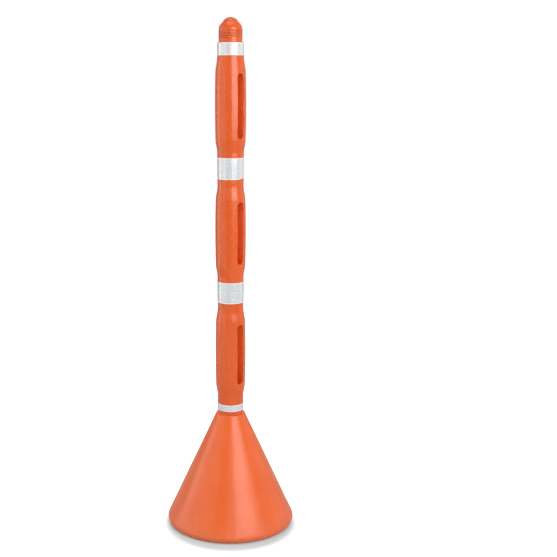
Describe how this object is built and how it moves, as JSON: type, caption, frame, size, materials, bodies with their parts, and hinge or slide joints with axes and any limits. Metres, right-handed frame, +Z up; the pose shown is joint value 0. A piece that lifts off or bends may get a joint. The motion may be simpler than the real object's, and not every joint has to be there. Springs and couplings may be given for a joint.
{
  "type": "delineator post",
  "caption": "Free-standing road delineator: a ballasted hollow cone carrying stacked slotted post modules with domed spigots and white reflective bands.",
  "frame": {"origin": "on the floor, at the post's axis, under the middle of the cone", "axes": "+Z up along the post's axis; the tape slots run along X"},
  "size_m": [0.316, 0.316, 1.24],
  "materials": {
    "orange_plastic": "semi-gloss orange blow-moulded polyethylene, slightly translucent, with fine scuffs",
    "reflective_sheeting": "white prismatic retroreflective sheeting with a fine diamond lattice under a glossy face",
    "plug_plastic": "black moulded polyethylene",
    "sand": "dry washed sand"
  },
  "bodies": {
    "base": {"base_cone": "orange_plastic", "ballast_sand": "sand"},
    "plug": {"fill_plug": "plug_plastic"},
    "lower_post": {"module_lower": "orange_plastic", "band_base": "reflective_sheeting"},
    "middle_post": {"module_middle": "orange_plastic", "band_lower": "reflective_sheeting"},
    "upper_post": {"module_upper": "orange_plastic", "band_upper": "reflective_sheeting", "band_top": "reflective_sheeting"}
  },
  "joints": [
    {"name": "plug_pull", "type": "slide", "parent": "base", "child": "plug", "axis": [0, 0, 1], "range_m": [0, 0.025]},
    {"name": "lower_lift", "type": "slide", "parent": "base", "child": "lower_post", "axis": [0, 0, 1], "range_m": [0, 0.06]},
    {"name": "middle_lift", "type": "slide", "parent": "lower_post", "child": "middle_post", "axis": [0, 0, 1], "range_m": [0, 0.07]},
    {"name": "upper_lift", "type": "slide", "parent": "middle_post", "child": "upper_post", "axis": [0, 0, 1], "range_m": [0, 0.07]}
  ]
}
